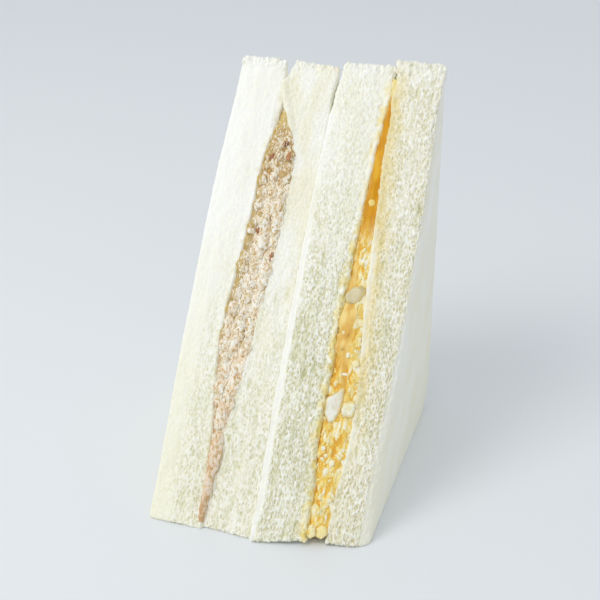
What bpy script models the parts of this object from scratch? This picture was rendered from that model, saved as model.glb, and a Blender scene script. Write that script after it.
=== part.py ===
"""Tuna and egg sandwich of crustless white bread, cut corner to corner and standing on a short side.

Two sandwiches stand side by side: tuna on the left, egg on the right. Each is two slices of bread
with a filling that runs through between them. The long cut faces forward (-Y) and leans back.
Every piece is first worked out in a straight frame: X across the slices, Y from the cut's foot
backwards, Z upwards, in metres. The settle function then gives each point its place on the real,
slightly uneven sandwich, and the origin ends up under the middle of its box.
"""

import math
import random

import bmesh
import bpy
from mathutils import Matrix, Vector

MM = 0.001

# Driving dimensions of the whole
WIDTH = 66.6 * MM
DEPTH = 91.9 * MM
HEIGHT = 117.2 * MM
BACK_CORNER_RADIUS = 13.0 * MM
FOOT_RADIUS = 0.5 * MM
TIP_RADIUS = 0.9 * MM

# The middle of each filling, the seam between the two sandwiches, and how far it bows to the left
TUNA_X = -16.5 * MM
MIDDLE_X = -0.2 * MM
MIDDLE_BOW = 1.2 * MM
EGG_X = 17.8 * MM
CLEARANCE = 0.3 * MM

# The cut face: how far its foot is set back, and how high its tip ends, at places across the slices.
# At a filling the next slice starts with a step, because the slices have slipped a little.
STEP = 0.1 * MM
CUT_PLACES_X = (-WIDTH / 2, TUNA_X - STEP, TUNA_X + STEP, MIDDLE_X, EGG_X - STEP, EGG_X + STEP, WIDTH / 2)
CUT_FOOT_SETBACK = (2.2 * MM, 1.7 * MM, 1.7 * MM, 0.0 * MM, 3.8 * MM, 3.8 * MM, 7.5 * MM)
CUT_TIP_HEIGHT = (116.9 * MM, 116.7 * MM, 117.8 * MM, 116.9 * MM, 117.7 * MM, 119.3 * MM, 119.0 * MM)
FOOT_LIFT = 1.5 * MM
FOOT_LIFT_LENGTH = 14.0 * MM
FOOT_LIFT_END_X = EGG_X + 8.0 * MM

# Bread
SIDE_BULGE = 0.8 * MM
BULGE_SHARE = 0.4
CRISP_RADIUS = 0.4 * MM
ROLL_DEPTH = 4.0 * MM
ROLL_FROM_FOOT = (0.0, 0.07)
ROLL_BEFORE_TIP = (0.88, 0.97)
CRUMB_CROWN = 0.35 * MM
CROWN_DEPTH = 1.0 * MM
SECOND_SLICE_INSET = 0.8 * MM

# Fillings: the thickest place, and the distances from each short side over which they thin out.
# Outside a filling's edge the two slices are pinched together.
TUNA_THICKNESS = 10.4 * MM
TUNA_THIN = 0.7 * MM
TUNA_LEAN = 2.6 * MM
TUNA_LEAN_RISE = (0.35, 0.7)
TUNA_LEAN_FALL = (0.82, 0.96)
TUNA_FADE_FROM_BASE = (6.0 * MM, 50.0 * MM)
TUNA_FADE_FROM_BACK = (6.0 * MM, 23.0 * MM)
TUNA_EDGE_FROM_BASE = 5.0 * MM
TUNA_EDGE_FROM_BACK = 9.0 * MM
EGG_THICKNESS = 10.2 * MM
EGG_THIN = 0.8 * MM
EGG_LEAN = 0.9 * MM
EGG_LEAN_START = (0.34, 0.46)
EGG_LEAN_FADE = 24.0 * MM
EGG_SHARE_AT_FOOT = 0.6
EGG_FOOT_LENGTH = 38.0 * MM
EGG_FADE_FROM_BASE = (0.0 * MM, 30.0 * MM)
EGG_FADE_FROM_BACK = 70.0 * MM
EGG_EDGE_FROM_BASE = 1.0 * MM
EGG_EDGE_FROM_BACK = 4.5 * MM
FILLING_INSET = 0.9 * MM
PINCH_LENGTH = 4.0 * MM

# Where two slices part near the tip: the opening at the tip, and the share of the cut it runs down to
TUNA_TIP_GAP = 1.5 * MM
TUNA_GAP_START = 0.91
MIDDLE_TIP_GAP = 1.1 * MM
MIDDLE_GAP_START = 0.78
MIDDLE_TIP_LEAN = 1.0 * MM
MIDDLE_LEAN_REACH = (0.90, 1.0)
SECOND_SLICE_CURL = 2.8 * MM
SECOND_SLICE_CURL_START = 0.93

# Mesh resolution: steps along each side and corner, closer together near the tip of the cut, and the
# rings between the centre and the edge
CUT_STEPS = 23
CUT_STEP_SPACING = 1.3
BASE_STEPS = 8
BACK_STEPS = 10
CORNER_STEPS = 4
TIP_STEPS = 2
FACE_RINGS = (0.3, 0.55, 0.75, 0.84, 0.895)
ROUNDING_ANGLES = (90.0, 45.0, 0.0)

# Bits that show at the cut: half sizes across, inwards and along it, and the spacing
FLAKE_SIZE = (1.5 * MM, 1.2 * MM, 2.4 * MM)
FLAKE_PITCH = 4.0 * MM
FLAKE_REACH = (0.11, 0.87)
FLAKE_SEED = 4
CURD_SIZE = (1.3 * MM, 1.2 * MM, 1.9 * MM)
CURD_PITCH = 4.2 * MM
CURD_REACH = (0.05, 0.46)
CURD_SEED = 9
SMALLEST_BIT = 0.45
BIT_TILT = 25.0
BIT_SCALES = (0.8, 1.2)
BIT_PLACES_ABREAST = (0.35, 0.65)
BIT_DEPTHS = (-0.5, 0.2)
BIT_SLIPS = (-0.2, 0.2)
FOOT_CURDS = ((0.022, -2.4 * MM, 2.0 * MM), (0.025, 1.4 * MM, 2.3 * MM))

# Large pieces of egg white: share of the cut, X, depth, and the outline in millimetres, as distances
# across and up the cut from that place
EGG_WHITES = (
    ("egg_white_piece_1", 0.498, 16.9 * MM, 4.2 * MM,
     ((-3.1, 0.2), (-1.0, 2.7), (1.8, 2.5), (2.9, 1.3), (1.5, -2.2), (-0.3, -2.7), (-2.3, -1.8))),
    ("egg_white_piece_2", 0.275, 16.0 * MM, 4.0 * MM,
     ((2.2, 5.4), (0.0, 3.6), (-2.3, 2.2), (-2.0, -2.2), (-0.3, -5.0), (0.9, -4.4), (2.2, -1.0), (2.5, 2.8))),
    ("egg_white_piece_3", 0.268, 20.8 * MM, 3.5 * MM,
     ((-1.9, -1.6), (-1.9, 1.0), (-0.9, 2.1), (1.2, 2.3), (1.7, 1.0), (1.3, -1.9))),
)
EGG_WHITE_RECESS = 0.3 * MM
EGG_WHITE_BEVEL = 0.5 * MM
EGG_WHITE_CLEARANCE = 0.45 * MM

# Colour and roughness of each food
BREAD_LOOK = ((0.90, 0.88, 0.76), 0.9)
TUNA_LOOK = ((0.67, 0.48, 0.33), 0.7)
EGG_LOOK = ((0.90, 0.58, 0.14), 0.5)
EGG_WHITE_LOOK = ((0.93, 0.91, 0.82), 0.4)

CUT_LENGTH = math.hypot(DEPTH, HEIGHT)
ACROSS = Vector((1.0, 0.0, 0.0))
UP_THE_CUT = Vector((0.0, DEPTH, HEIGHT)) / CUT_LENGTH
INTO_THE_CUT = Vector((0.0, HEIGHT, -DEPTH)) / CUT_LENGTH
INNER_RADIUS = (DEPTH + HEIGHT - CUT_LENGTH) / 2
CENTRE = (DEPTH - INNER_RADIUS, INNER_RADIUS)


def smooth(value, start, end):
    """Goes from 0 at start to 1 at end, with level ends."""
    share = min(max((value - start) / (end - start), 0.0), 1.0)
    return share * share * (3.0 - 2.0 * share)


def between(x, places, values):
    """Reads values, given at places, at x."""
    for left, right, low, high in zip(places, places[1:], values, values[1:]):
        if x <= right:
            share = max((x - left) / (right - left), 0.0)
            return low + (high - low) * share
    return values[-1]


def share_of_cut(y, z):
    """The share of the way up the cut, 0 at its foot and 1 at its tip."""
    return (y * DEPTH + z * HEIGHT) / CUT_LENGTH ** 2


def settle(point):
    """Moves a point of the straight frame to its place on the sandwich."""
    x, y, z = point
    setback = between(x, CUT_PLACES_X, CUT_FOOT_SETBACK)
    tip = between(x, CUT_PLACES_X, CUT_TIP_HEIGHT)
    settled_y = DEPTH - (DEPTH - y) * (1.0 - setback / DEPTH)
    settled_z = z * tip / HEIGHT
    near_egg = smooth(x, MIDDLE_X, EGG_X) * (1.0 - smooth(x, EGG_X, FOOT_LIFT_END_X))
    settled_z += FOOT_LIFT * near_egg * (1.0 - smooth(y, 0.0, FOOT_LIFT_LENGTH))
    return Vector((x, settled_y, settled_z))


def tuna_thickness(y, z):
    """Thick in the middle of the cut, thin at both short sides."""
    full = smooth(z, *TUNA_FADE_FROM_BASE) * smooth(DEPTH - y, *TUNA_FADE_FROM_BACK)
    return TUNA_THIN + (TUNA_THICKNESS - TUNA_THIN) * full


def egg_thickness(y, z):
    """Thickest low on the cut, still wide at its foot, and evenly thinner towards the tip."""
    at_base = EGG_SHARE_AT_FOOT * (1.0 - smooth(y, 0.0, EGG_FOOT_LENGTH))
    from_base = at_base + (1.0 - at_base) * smooth(z, *EGG_FADE_FROM_BASE)
    full = from_base * min((DEPTH - y) / EGG_FADE_FROM_BACK, 1.0)
    return EGG_THIN + (EGG_THICKNESS - EGG_THIN) * full


def half_gap(thickness, from_base, from_back, y, z):
    """Half of the gap between two slices, which close up again outside their filling."""
    over_base = smooth(z, from_base - PINCH_LENGTH, from_base)
    before_back = smooth(DEPTH - y, from_back - PINCH_LENGTH, from_back)
    return CLEARANCE / 2 + (thickness + CLEARANCE) / 2 * over_base * before_back


def tip_gap(opening, start, y, z):
    """Half of the gap between two slices that part near the tip."""
    return 0.5 * opening * smooth(share_of_cut(y, z), start, 1.0)


def tuna_middle(y, z):
    """The tuna leans to the right in the upper half of the cut."""
    share = share_of_cut(y, z)
    return TUNA_X + TUNA_LEAN * smooth(share, *TUNA_LEAN_RISE) * (1.0 - smooth(share, *TUNA_LEAN_FALL))


def tuna_gap(y, z):
    gap = half_gap(tuna_thickness(y, z), TUNA_EDGE_FROM_BASE, TUNA_EDGE_FROM_BACK, y, z)
    return gap + tip_gap(TUNA_TIP_GAP, TUNA_GAP_START, y, z)


def egg_middle(y, z):
    """The egg leans to the left in the upper half of the cut, and back to the seam at the back."""
    lean = smooth(share_of_cut(y, z), *EGG_LEAN_START) * smooth(DEPTH - y, 0.0, EGG_LEAN_FADE)
    return EGG_X - EGG_LEAN * lean


def egg_gap(y, z):
    return half_gap(egg_thickness(y, z), EGG_EDGE_FROM_BASE, EGG_EDGE_FROM_BACK, y, z)


def middle_gap(y, z):
    return CLEARANCE / 2 + tip_gap(MIDDLE_TIP_GAP, MIDDLE_GAP_START, y, z)


def side_bulge(y, z):
    """The outer slices swell where the filling is thick."""
    from_base = smooth(z, 0.0, BULGE_SHARE * HEIGHT)
    from_back = smooth(DEPTH - y, 0.0, BULGE_SHARE * DEPTH)
    return SIDE_BULGE * from_base * from_back


def outer_left(y, z):
    return -WIDTH / 2 + SIDE_BULGE - side_bulge(y, z)


def left_of_tuna(y, z):
    return tuna_middle(y, z) - tuna_gap(y, z)


def right_of_tuna(y, z):
    """The second slice also curls away from the first at its tip, more and more."""
    curled = max(share_of_cut(y, z) - SECOND_SLICE_CURL_START, 0.0) / (1.0 - SECOND_SLICE_CURL_START)
    return tuna_middle(y, z) + tuna_gap(y, z) + SECOND_SLICE_CURL * curled ** 2


def middle_seam(y, z):
    """The seam between the two sandwiches bows to the left, and leans to the right at the tip."""
    share = share_of_cut(y, z)
    lean = MIDDLE_TIP_LEAN * smooth(share, *MIDDLE_LEAN_REACH)
    return MIDDLE_X - MIDDLE_BOW * 4.0 * share * (1.0 - share) + lean


def left_of_middle(y, z):
    return middle_seam(y, z) - middle_gap(y, z)


def right_of_middle(y, z):
    return middle_seam(y, z) + middle_gap(y, z)


def left_of_egg(y, z):
    return egg_middle(y, z) - egg_gap(y, z)


def right_of_egg(y, z):
    return egg_middle(y, z) + egg_gap(y, z)


def outer_right(y, z):
    return WIDTH / 2 - SIDE_BULGE + side_bulge(y, z)


def rounded_corner(corner, before, after, radius, steps):
    """Points of an arc that replaces a corner of the outline."""
    corner = Vector(corner)
    towards_before = (Vector(before) - corner).normalized()
    towards_after = (Vector(after) - corner).normalized()
    half_angle = towards_before.angle(towards_after) / 2
    middle = (towards_before + towards_after).normalized()
    centre = corner + middle * radius / math.sin(half_angle)
    first = corner + towards_before * radius / math.tan(half_angle) - centre
    last = corner + towards_after * radius / math.tan(half_angle) - centre
    turn = first.angle_signed(last)
    return [centre + Matrix.Rotation(-turn * step / steps, 2) @ first for step in range(steps + 1)]


def outline(from_base=0.0, from_back=0.0, from_cut=0.0, steps=(BASE_STEPS, BACK_STEPS, CUT_STEPS)):
    """An outline in Y and Z, set in from each side: the foot of the cut, back corner and tip."""
    foot = Vector((from_base * DEPTH / HEIGHT + from_cut * CUT_LENGTH / HEIGHT, from_base))
    back = Vector((DEPTH - from_back, from_base))
    tip = Vector((back.x, from_base + (back.x - foot.x) * HEIGHT / DEPTH))
    foot_arc = rounded_corner(foot, tip, back, FOOT_RADIUS, TIP_STEPS)
    back_arc = rounded_corner(back, foot, tip, BACK_CORNER_RADIUS, CORNER_STEPS)
    tip_arc = rounded_corner(tip, back, foot, TIP_RADIUS, TIP_STEPS)
    points = []
    spacings = (1.0, 1.0, CUT_STEP_SPACING)
    for arc, next_arc, count, spacing in zip((foot_arc, back_arc, tip_arc), (back_arc, tip_arc, foot_arc),
                                             steps, spacings):
        points += arc
        points += [arc[-1].lerp(next_arc[0], (step / count) ** spacing) for step in range(1, count)]
    return points


def drawn_in(point, inset, face, shift=0.0):
    """A point of the outline drawn in by inset, with its X read from a face and moved by shift."""
    centre = Vector(CENTRE)
    y, z = centre + (point - centre) * (1.0 - inset / INNER_RADIUS)
    return Vector((face(y, z) + shift, y, z))


def ring(edge, inset, face):
    """The whole outline drawn in by inset."""
    return [drawn_in(point, inset, face) for point in edge]


def shifted(face, shift):
    """The same face, moved along X."""
    return lambda y, z: face(y, z) + shift


def edge_radius(radius, y, z):
    """The full radius along the cut; crisp at both of its ends and along the other sides."""
    share = share_of_cut(y, z)
    depth = Vector((0.0, y, z)).dot(INTO_THE_CUT)
    rolled = smooth(share, *ROLL_FROM_FOOT) * (1.0 - smooth(share, *ROLL_BEFORE_TIP))
    return CRISP_RADIUS + (radius - CRISP_RADIUS) * rolled * (1.0 - smooth(depth, 0.0, ROLL_DEPTH))


def rounded_edge(edge, face, radius, side, grow):
    """Rings round the edge of a slice, from the face outwards; side is 1 where X grows inwards."""
    radii = [edge_radius(radius, point.x, point.y) for point in edge]
    rings = []
    for angle in ROUNDING_ANGLES:
        drop = 1.0 - math.cos(math.radians(angle))
        shift = side * (1.0 - math.sin(math.radians(angle)))
        rings.append([drawn_in(point, near * drop - grow, face, near * shift)
                      for point, near in zip(edge, radii)])
    return rings


def body_from_rings(name, rings, left_face, right_face):
    """A closed body from rings that run from the left face round the edge to the right face."""
    mesh = bmesh.new()
    y, z = CENTRE
    left_centre = mesh.verts.new((left_face(y, z), y, z))
    right_centre = mesh.verts.new((right_face(y, z), y, z))
    rows = [[mesh.verts.new(point) for point in points] for points in rings]
    count = len(rows[0])
    for index in range(count):
        following = (index + 1) % count
        mesh.faces.new((left_centre, rows[0][index], rows[0][following]))
        mesh.faces.new((right_centre, rows[-1][following], rows[-1][index]))
        for row, next_row in zip(rows, rows[1:]):
            mesh.faces.new((row[index], next_row[index], next_row[following]))
            mesh.faces.new((row[index], next_row[following], row[following]))
    bmesh.ops.recalc_face_normals(mesh, faces=mesh.faces)
    return object_from_bmesh(name, mesh)


def object_from_bmesh(name, mesh):
    data = bpy.data.meshes.new(name)
    mesh.to_mesh(data)
    mesh.free()
    thing = bpy.data.objects.new(name, data)
    bpy.context.scene.collection.objects.link(thing)
    return thing


def crowned(points):
    """Lets the crumb stand out a little along the middle of the cut."""
    crown = INTO_THE_CUT * CRUMB_CROWN
    return [point - crown * smooth(-point.dot(INTO_THE_CUT), -CROWN_DEPTH, 0.0) for point in points]


def bread_slice(name, left_face, right_face, left_radius, right_radius, from_cut, grow=0.0):
    """One slice: two faces, an edge rounded on both sides, and a slightly crowned crumb between.

    Grown by a clearance, it is the tool that shapes the filling beside it.
    """
    edge = outline(from_cut=from_cut)
    left = shifted(left_face, -grow)
    right = shifted(right_face, grow)
    inner_rings = [INNER_RADIUS * (1.0 - share) for share in FACE_RINGS]
    rings = [ring(edge, inset, left) for inset in inner_rings]
    rings += rounded_edge(edge, left, left_radius, 1, grow)
    rings.append(crowned(ring(edge, -grow, lambda y, z: (left(y, z) + right(y, z)) / 2)))
    rings += rounded_edge(edge, right, right_radius, -1, grow)[::-1]
    rings += [ring(edge, inset, right) for inset in inner_rings[::-1]]
    return body_from_rings(name, rings, left, right)


def extrude(mesh, side, offset):
    """Makes a closed block from one side and an offset."""
    block = bmesh.ops.extrude_face_region(mesh, geom=[side])
    moved = [item for item in block["geom"] if isinstance(item, bmesh.types.BMVert)]
    bmesh.ops.translate(mesh, verts=moved, vec=offset)
    bmesh.ops.recalc_face_normals(mesh, faces=mesh.faces)


def filling_block(name, from_base, from_back, middle, reach):
    """A block with the filling's outline, wider than the filling, before the bread shapes its faces."""
    mesh = bmesh.new()
    edge = outline(from_base, from_back, FILLING_INSET, steps=(1, 1, 1))
    side = mesh.faces.new([mesh.verts.new((middle - reach, point.x, point.y)) for point in edge])
    extrude(mesh, side, ACROSS * 2 * reach)
    return object_from_bmesh(name, mesh)


def on_cut(share, x, depth):
    """A point of the straight frame, share of the way up the cut and depth inside it."""
    return ACROSS * x + UP_THE_CUT * (share * CUT_LENGTH) + INTO_THE_CUT * depth


def bits_along_cut(size, pitch, reach, left_face, right_face, keep_clear, draw):
    """Small uneven bits that show at the cut, as many abreast as the filling is wide there."""
    bits = []
    start, end = reach
    rows = int((end - start) * CUT_LENGTH / pitch)
    for row in range(rows):
        share = start + (end - start) * (row + 0.5) / rows
        spot = on_cut(share, 0.0, 0.0)
        left, right = left_face(spot.y, spot.z), right_face(spot.y, spot.z)
        abreast = max(1, round((right - left) / pitch))
        for column in range(abreast):
            scale = draw.uniform(*BIT_SCALES)
            across = min(size[0] * scale, (right - left) / 2)
            x = left + (right - left) * (column + draw.uniform(*BIT_PLACES_ABREAST)) / abreast
            depth = FILLING_INSET + draw.uniform(*BIT_DEPTHS) * size[1]
            place = on_cut(share + draw.uniform(*BIT_SLIPS) * pitch / CUT_LENGTH, x, depth)
            wide_enough = across > SMALLEST_BIT * size[0]
            if wide_enough and all((place - spot).length > clear for spot, clear in keep_clear):
                bits.append(uneven_bit(place, (across, size[1] * scale, size[2] * scale), draw))
    return bits


def uneven_bit(place, reach, draw):
    """One bit: a coarse uneven lump, with its half sizes across, inwards and along the cut."""
    mesh = bmesh.new()
    bmesh.ops.create_icosphere(mesh, subdivisions=1, radius=1.0)
    turn = Matrix.Rotation(math.radians(draw.uniform(-BIT_TILT, BIT_TILT)), 3, INTO_THE_CUT)
    for vert in mesh.verts:
        x, y, z = vert.co * draw.uniform(*BIT_SCALES)
        offset = ACROSS * x * reach[0] + INTO_THE_CUT * y * reach[1] + UP_THE_CUT * z * reach[2]
        vert.co = place + turn @ offset
    return object_from_bmesh("bit", mesh)


def apply_boolean(thing, operation, others, solver):
    """Joins others to a thing, or takes them away from it, by one Boolean on a collection."""
    group = bpy.data.collections.new("others")
    bpy.context.scene.collection.children.link(group)
    for other in others:
        group.objects.link(other)
    modifier = thing.modifiers.new("join", "BOOLEAN")
    modifier.operation = operation
    modifier.operand_type = "COLLECTION"
    modifier.collection = group
    modifier.solver = solver
    result = bpy.data.meshes.new_from_object(thing.evaluated_get(bpy.context.evaluated_depsgraph_get()))
    thing.modifiers.clear()
    thing.data = result
    for other in others:
        bpy.data.objects.remove(other)
    bpy.data.collections.remove(group)


def egg_white(name, share, x, depth, corners, grow=0.0):
    """A chunk of boiled egg white: a slab that runs into the cut, with softened edges."""
    mesh = bmesh.new()
    front = on_cut(share, x, EGG_WHITE_RECESS - grow)
    edge = []
    for corner in corners:
        across, upwards = Vector(corner) * MM + Vector(corner).normalized() * grow
        edge.append(mesh.verts.new(front + ACROSS * across + UP_THE_CUT * upwards))
    side = mesh.faces.new(edge)
    extrude(mesh, side, INTO_THE_CUT * (depth + 2 * grow))
    bmesh.ops.bevel(mesh, geom=mesh.edges[:], offset=EGG_WHITE_BEVEL, segments=1, profile=0.5,
                    affect="EDGES", clamp_overlap=True)
    bmesh.ops.triangulate(mesh, faces=mesh.faces)
    bmesh.ops.recalc_face_normals(mesh, faces=mesh.faces)
    return object_from_bmesh(name, mesh)


def food(name, colour, roughness):
    """A matt food material."""
    material = bpy.data.materials.new(name)
    material.use_nodes = True
    shader = material.node_tree.nodes["Principled BSDF"]
    shader.inputs["Base Color"].default_value = (*colour, 1.0)
    shader.inputs["Roughness"].default_value = roughness
    shader.inputs["Metallic"].default_value = 0.0
    return material


def finish(thing, material):
    """Gives a piece its material and moves its points to their place on the sandwich."""
    thing.data.materials.clear()
    thing.data.materials.append(material)
    for vert in thing.data.vertices:
        vert.co = settle(vert.co)


def put_origin_under_middle():
    """Moves all pieces together, so that the origin is under the middle of the sandwich's box."""
    points = [vert.co for thing in bpy.data.objects for vert in thing.data.vertices]
    low = Vector([min(values) for values in zip(*points)])
    high = Vector([max(values) for values in zip(*points)])
    shift = Vector(((low.x + high.x) / 2, (low.y + high.y) / 2, low.z))
    for thing in bpy.data.objects:
        thing.data.transform(Matrix.Translation(-shift))


def press_between(thing, slices, solver):
    """Takes two grown slices away from a filling, so that it fits between them with a clearance."""
    for row in slices:
        apply_boolean(thing, "DIFFERENCE", [bread_slice(*row, grow=CLEARANCE)], solver)


def make_tuna():
    """The tuna filling, with flakes fused to it where it shows."""
    thing = filling_block("tuna_filling", TUNA_EDGE_FROM_BASE, TUNA_EDGE_FROM_BACK, TUNA_X, TUNA_THICKNESS)
    draw = random.Random(FLAKE_SEED)
    flakes = bits_along_cut(FLAKE_SIZE, FLAKE_PITCH, FLAKE_REACH, left_of_tuna, right_of_tuna, (), draw)
    apply_boolean(thing, "UNION", flakes, "EXACT")
    press_between(thing, SLICES[:2], "EXACT")
    finish(thing, food("tuna", *TUNA_LOOK))


def make_egg():
    """The egg filling, with curds fused to it and a pocket for each large piece of egg white.

    The exact solver leaves open edges here, so this one uses the manifold solver.
    """
    thing = filling_block("egg_filling", EGG_EDGE_FROM_BASE, EGG_EDGE_FROM_BACK, EGG_X, EGG_THICKNESS)
    draw = random.Random(CURD_SEED)
    clear = [(on_cut(share, x, 0.0), max(upwards for _, upwards in corners) * MM + CURD_SIZE[2])
             for _, share, x, _, corners in EGG_WHITES]
    curds = bits_along_cut(CURD_SIZE, CURD_PITCH, CURD_REACH, left_of_egg, right_of_egg, clear, draw)
    for share, across, radius in FOOT_CURDS:
        curds.append(uneven_bit(on_cut(share, EGG_X + across, FILLING_INSET), (radius, radius, radius), draw))
    apply_boolean(thing, "UNION", curds, "MANIFOLD")
    press_between(thing, SLICES[2:], "MANIFOLD")
    pockets = [egg_white(*row, grow=EGG_WHITE_CLEARANCE) for row in EGG_WHITES]
    apply_boolean(thing, "DIFFERENCE", pockets, "MANIFOLD")
    finish(thing, food("egg", *EGG_LOOK))


# The four slices from left to right: name, left and right face, how far their edges are rounded where
# they show in the middle of the cut, and the inset of the cut
SLICES = (
    ("bread_tuna_outer", outer_left, left_of_tuna, 1.0 * MM, 1.3 * MM, 0.0),
    ("bread_tuna_inner", right_of_tuna, left_of_middle, 1.2 * MM, 0.8 * MM, SECOND_SLICE_INSET),
    ("bread_egg_inner", right_of_middle, left_of_egg, 2.0 * MM, 1.0 * MM, 0.0),
    ("bread_egg_outer", right_of_egg, outer_right, 1.7 * MM, 1.7 * MM, 0.0),
)

for old in list(bpy.data.objects):
    bpy.data.objects.remove(old)
make_tuna()
make_egg()
for slice_row in SLICES:
    finish(bread_slice(*slice_row), food(slice_row[0], *BREAD_LOOK))
for egg_white_row in EGG_WHITES:
    finish(egg_white(*egg_white_row), food(egg_white_row[0], *EGG_WHITE_LOOK))
put_origin_under_middle()
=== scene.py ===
# %% [markdown]
# # A tuna and egg sandwich
#
# Two sandwiches of crustless white bread stand side by side, cut corner to corner, with the long
# cut facing the camera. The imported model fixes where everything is. This script gives each piece
# its real surface: open crumb on the cut bread, flakes of tuna, and chopped egg in dressing.

# %% The frame
import math

import bmesh
import bpy
from mathutils import Matrix, Vector


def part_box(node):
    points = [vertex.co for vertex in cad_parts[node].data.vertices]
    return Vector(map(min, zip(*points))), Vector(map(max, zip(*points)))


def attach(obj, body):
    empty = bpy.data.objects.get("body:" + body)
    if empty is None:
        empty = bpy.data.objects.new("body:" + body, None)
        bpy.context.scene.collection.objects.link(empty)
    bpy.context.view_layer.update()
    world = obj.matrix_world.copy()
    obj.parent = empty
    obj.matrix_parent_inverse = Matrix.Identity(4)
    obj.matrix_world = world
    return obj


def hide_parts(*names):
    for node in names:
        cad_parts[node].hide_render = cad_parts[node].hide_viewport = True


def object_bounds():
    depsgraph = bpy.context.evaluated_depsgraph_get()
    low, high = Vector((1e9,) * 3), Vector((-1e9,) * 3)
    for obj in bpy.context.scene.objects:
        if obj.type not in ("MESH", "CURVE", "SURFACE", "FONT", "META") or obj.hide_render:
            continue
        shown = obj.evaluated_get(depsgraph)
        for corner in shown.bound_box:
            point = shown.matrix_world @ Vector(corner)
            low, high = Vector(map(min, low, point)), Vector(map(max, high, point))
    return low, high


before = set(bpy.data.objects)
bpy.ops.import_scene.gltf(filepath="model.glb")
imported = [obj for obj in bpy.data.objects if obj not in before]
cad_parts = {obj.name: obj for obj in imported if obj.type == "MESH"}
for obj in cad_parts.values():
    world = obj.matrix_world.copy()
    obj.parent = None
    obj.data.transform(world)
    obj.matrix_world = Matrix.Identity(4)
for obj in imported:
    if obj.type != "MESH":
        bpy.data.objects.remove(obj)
CAD_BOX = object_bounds()
MM = 0.001
print("nodes:", sorted(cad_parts))

# %% [markdown]
# ## The camera
#
# A photograph is matched by its camera first. The lens, place and turn below were worked out from the
# corners of the cut, so that every seam falls where the photograph has it.

# %% Camera
YAW = math.radians(16.80)
PITCH = math.radians(26.44)
ROLL = math.radians(0.08)
LENS_MM = 71.93
SENSOR_MM = 36.0
EYE = (0.09267, -0.3051, 0.21399)


def new_object(name, data):
    made = bpy.data.objects.new(name, data)
    bpy.context.scene.collection.objects.link(made)
    return made


camera_data = bpy.data.cameras.new("camera")
camera_data.lens = LENS_MM
camera_data.sensor_width = SENSOR_MM
camera_data.clip_start = 10 * MM
camera = new_object("camera", camera_data)
back = Vector((math.sin(YAW) * math.cos(PITCH), -math.cos(YAW) * math.cos(PITCH), math.sin(PITCH)))
camera.rotation_mode = "QUATERNION"
camera.rotation_quaternion = back.to_track_quat("Z", "Y") @ Matrix.Rotation(ROLL, 3, "Z").to_quaternion()
camera.location = EYE
bpy.context.scene.camera = camera
print("camera:", LENS_MM, "mm lens,", round(Vector(EYE).length, 3), "m from the middle of the base")

# %% [markdown]
# ## Soft light and a pale floor
#
# The photograph is bright and soft, with a large window on the left. A big area light stands in for
# the window and a white world for the bright room. The standard view keeps the whites white.

# %% Light
WINDOW_PLACE = (-0.45, -0.45, 0.75)
WINDOW_AIM = (0.0, 0.0, 0.05)
WINDOW_SIZE = 0.5
WINDOW_WATTS = 3.1
ROOM_STRENGTH = 0.75


def linear(code):
    """Turns an sRGB hex colour into the linear colour that a shader reads."""
    values = [int(code[start:start + 2], 16) / 255 for start in (1, 3, 5)]
    curved = [value / 12.92 if value <= 0.04045 else ((value + 0.055) / 1.055) ** 2.4 for value in values]
    return (*curved, 1.0)


bpy.context.scene.view_settings.view_transform = "Standard"
window_data = bpy.data.lights.new("window", "AREA")
window_data.size = WINDOW_SIZE
window_data.energy = WINDOW_WATTS
window_data.color = linear("#FFFDF8")[:3]
window = new_object("window", window_data)
window.location = WINDOW_PLACE
window.rotation_mode = "QUATERNION"
window.rotation_quaternion = (Vector(WINDOW_AIM) - Vector(WINDOW_PLACE)).to_track_quat("-Z", "Y")

world = bpy.data.worlds.new("room")
world.use_nodes = True
world.node_tree.nodes["Background"].inputs["Color"].default_value = linear("#F4F7FB")
world.node_tree.nodes["Background"].inputs["Strength"].default_value = ROOM_STRENGTH
bpy.context.scene.world = world
print("window:", WINDOW_SIZE, "m wide,", WINDOW_WATTS, "W")

# %% Floor
FLOOR_HALF = 2.0


def new_material(name):
    """A material, its node tree and its Principled shader."""
    material = bpy.data.materials.new(name)
    material.use_nodes = True
    return material, material.node_tree, material.node_tree.nodes["Principled BSDF"]


corners = [(x * FLOOR_HALF, y * FLOOR_HALF, 0) for x, y in ((-1, -1), (1, -1), (1, 1), (-1, 1))]
floor_mesh = bpy.data.meshes.new("floor")
floor_mesh.from_pydata(corners, [], [(0, 1, 2, 3)])
floor = new_object("floor", floor_mesh)
floor_paint, _, floor_shader = new_material("pale_floor")
floor_shader.inputs["Base Color"].default_value = linear("#E9EDF0")
floor_shader.inputs["Roughness"].default_value = 0.5
floor.data.materials.append(floor_paint)
print("floor:", 2 * FLOOR_HALF, "m wide")

# %% [markdown]
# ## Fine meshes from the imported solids
#
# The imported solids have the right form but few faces. A voxel remesh gives each one an even, closed
# skin as fine as a quarter of a millimetre, and a light smoothing takes the old facets away. Relief can
# then be pressed into the skin by Geometry Nodes, and faces that stay flat are thinned out again.

# %% Fine copies
PIECE_TRIANGLES = 190000
WELD = 0.01 * MM


def bake(piece):
    """Turns a piece with its modifiers into a plain mesh."""
    depsgraph = bpy.context.evaluated_depsgraph_get()
    mesh = bpy.data.meshes.new_from_object(piece.evaluated_get(depsgraph))
    piece.modifiers.clear()
    piece.data = mesh
    return piece


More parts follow.
